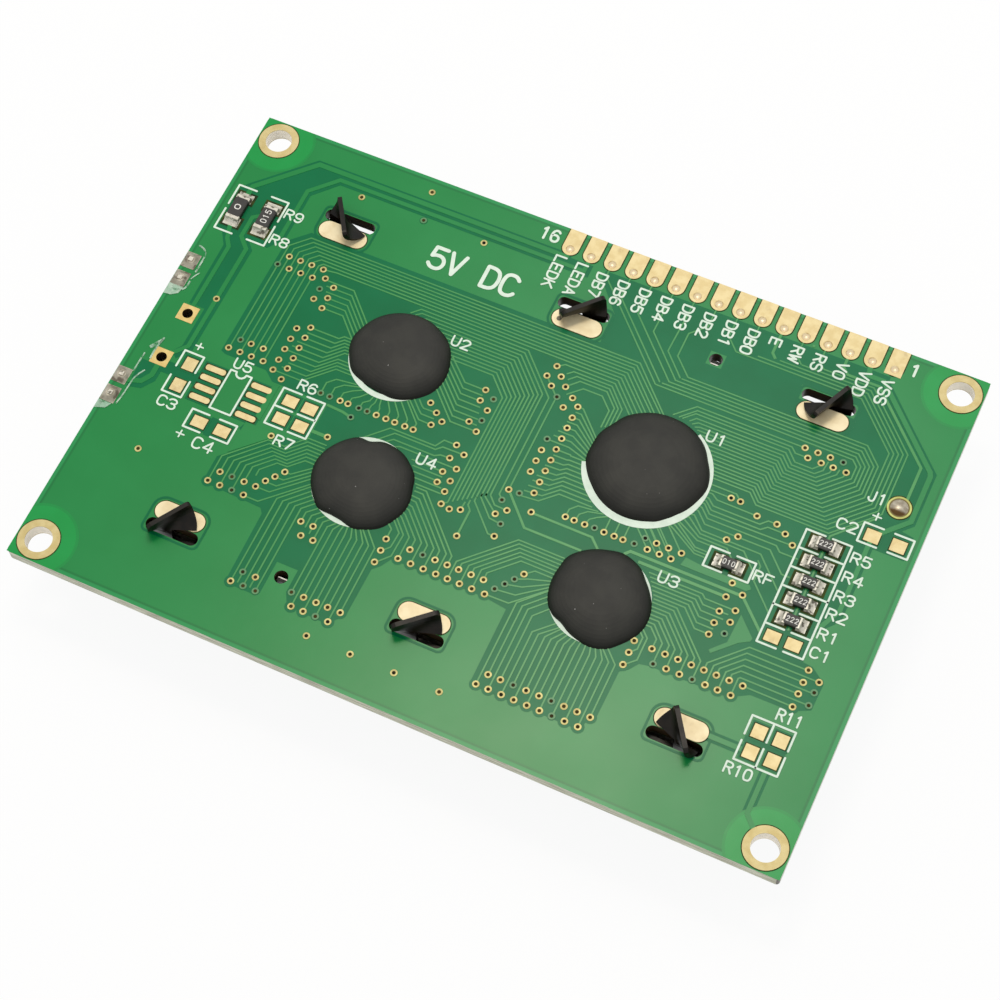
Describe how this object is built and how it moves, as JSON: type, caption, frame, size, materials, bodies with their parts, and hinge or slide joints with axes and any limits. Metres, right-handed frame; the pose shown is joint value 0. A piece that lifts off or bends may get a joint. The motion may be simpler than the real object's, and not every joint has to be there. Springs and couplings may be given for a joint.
{
  "type": "character lcd module",
  "caption": "Character LCD module lying face down: circuit board with resin chip caps, edge connector pads and a pressed bezel held by twisted tabs round a backlit display cell.",
  "frame": {"origin": "middle of the board, at the plane of the bezel's face that the module lies on", "axes": "+X along the long side of the board, +Y to the long edge with the row of connector pads, +Z from the face of the bezel to the component side of the board"},
  "size_m": [0.087, 0.06, 0.0132],
  "materials": {
    "board_green": "satin",
    "gold_plating": "satin",
    "solder": "satin",
    "bezel_steel": "satin",
    "polarizer_film": "gloss",
    "cell_glass": "gloss",
    "cell_seal": "matte",
    "contact_rubber": "matte",
    "white_film": "matte",
    "clear_acrylic": "gloss",
    "frame_plastic": "satin",
    "lamp_lens": "gloss",
    "chip_resin": "satin",
    "resistor_glaze": "satin"
  },
  "bodies": {
    "root": {"backlight_frame": "frame_plastic", "bare_pads": "gold_plating", "bezel": "bezel_steel", "cell_seal": "cell_seal", "chip_cap_u1": "chip_resin", "chip_cap_u2": "chip_resin", "chip_cap_u3": "chip_resin", "chip_cap_u4": "chip_resin", "circuit_board": "board_green", "connector_pads": "gold_plating", "connector_solder": "solder", "contact_pads": "gold_plating", "contact_strip_lower": "contact_rubber", "contact_strip_upper": "contact_rubber", "diffuser": "white_film", "edge_pads": "gold_plating", "edge_solder": "solder", "front_glass": "cell_glass", "front_polarizer": "polarizer_film", "ground_pads": "gold_plating", "jumper_ring": "gold_plating", "jumper_solder": "solder", "lamp_legs_lower": "solder", "lamp_legs_upper": "solder", "lamp_lower": "lamp_lens", "lamp_upper": "lamp_lens", "lead_pads": "gold_plating", "light_guide": "clear_acrylic", "mounting_hole_plating": "gold_plating", "rear_glass": "cell_glass", "rear_polarizer": "polarizer_film", "reflector": "white_film", "resistor_pads": "gold_plating", "resistor_r1_body": "resistor_glaze", "resistor_r1_terminals": "solder", "resistor_r2_body": "resistor_glaze", "resistor_r2_terminals": "solder", "resistor_r3_body": "resistor_glaze", "resistor_r3_terminals": "solder", "resistor_r4_body": "resistor_glaze", "resistor_r4_terminals": "solder", "resistor_r5_body": "resistor_glaze", "resistor_r5_terminals": "solder", "resistor_r8_body": "resistor_glaze", "resistor_r8_terminals": "solder", "resistor_r9_body": "resistor_glaze", "resistor_r9_terminals": "solder", "resistor_rf_body": "resistor_glaze", "resistor_rf_terminals": "solder", "resistor_solder": "solder"}
  },
  "joints": []
}
